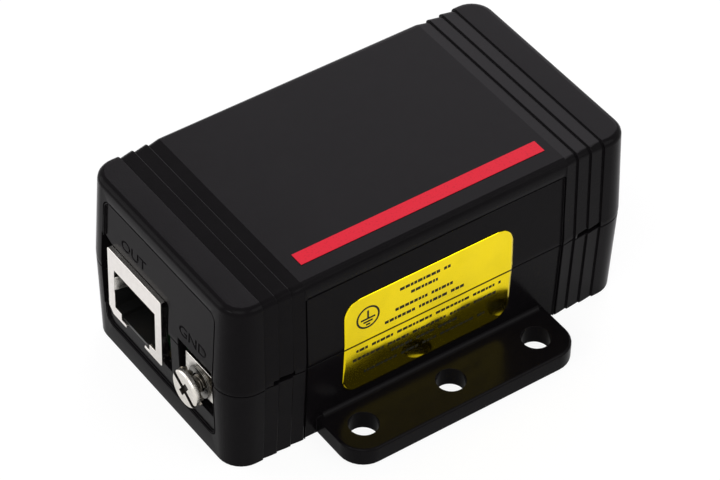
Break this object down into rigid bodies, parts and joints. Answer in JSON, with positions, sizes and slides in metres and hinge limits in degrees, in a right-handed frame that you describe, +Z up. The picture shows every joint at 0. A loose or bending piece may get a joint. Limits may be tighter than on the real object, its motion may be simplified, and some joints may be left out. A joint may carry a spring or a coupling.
{
  "type": "ethernet surge protector",
  "caption": "Inline network surge protector: ribbed flanged snap case with a shielded socket at each end, a ground screw terminal, a foil label and a stripe.",
  "frame": {"origin": "middle of the case's underside, the plane that lies on the wall or table", "axes": "+Z up out of the top face; -X out of the OUT end, which has the ground terminal; -Y out of the labelled long side"},
  "size_m": [0.0825, 0.0646, 0.0351],
  "materials": {
    "case_plastic": "fine-textured black moulding",
    "insert_plastic": "smooth black moulding",
    "tinned_steel": "tin-plated sheet",
    "zinc_steel": "bright zinc",
    "gold_contact": "gold flash",
    "board": "solder mask",
    "gas_tube": "ceramic between metal rings",
    "array_body": "moulded package",
    "label_foil": "mirror-like yellow foil",
    "stripe_red": "satin red film"
  },
  "bodies": {
    "case": {"top_cover": "case_plastic", "bottom_shell": "case_plastic", "circuit_board": "board", "out_jack_shield": "tinned_steel", "out_jack_insert": "insert_plastic", "out_contact_1": "gold_contact", "out_contact_2": "gold_contact", "out_contact_3": "gold_contact", "out_contact_4": "gold_contact", "out_contact_5": "gold_contact", "out_contact_6": "gold_contact", "out_contact_7": "gold_contact", "out_contact_8": "gold_contact", "in_jack_shield": "tinned_steel", "in_jack_insert": "insert_plastic", "in_contact_1": "gold_contact", "in_contact_2": "gold_contact", "in_contact_3": "gold_contact", "in_contact_4": "gold_contact", "in_contact_5": "gold_contact", "in_contact_6": "gold_contact", "in_contact_7": "gold_contact", "in_contact_8": "gold_contact", "ground_bracket": "tinned_steel", "gas_tube_1": "gas_tube", "diode_array_1": "array_body", "board_screw_1": "zinc_steel", "gas_tube_2": "gas_tube", "diode_array_2": "array_body", "board_screw_2": "zinc_steel", "gas_tube_3": "gas_tube", "diode_array_3": "array_body", "board_screw_3": "zinc_steel", "gas_tube_4": "gas_tube", "diode_array_4": "array_body", "board_screw_4": "zinc_steel", "side_label": "label_foil", "top_stripe": "stripe_red"},
    "lock_washer": {"ground_lock_washer": "zinc_steel"},
    "terminal_screw": {"ground_screw": "zinc_steel"}
  },
  "joints": [
    {"name": "screw_travel", "type": "slide", "parent": "case", "child": "lock_washer", "axis": [1, 0, 0], "range_m": [-0.0039, 0.0012]},
    {"name": "screw_turn", "type": "hinge", "parent": "lock_washer", "child": "terminal_screw", "pos_m": [-0.04105, -0.01075, 0.0122], "axis": [1, 0, 0], "range_deg": [-1800, 560]}
  ],
  "couplings": [
    {"joint": "screw_turn", "follows": "screw_travel", "rad_per_m": 7915.8}
  ]
}
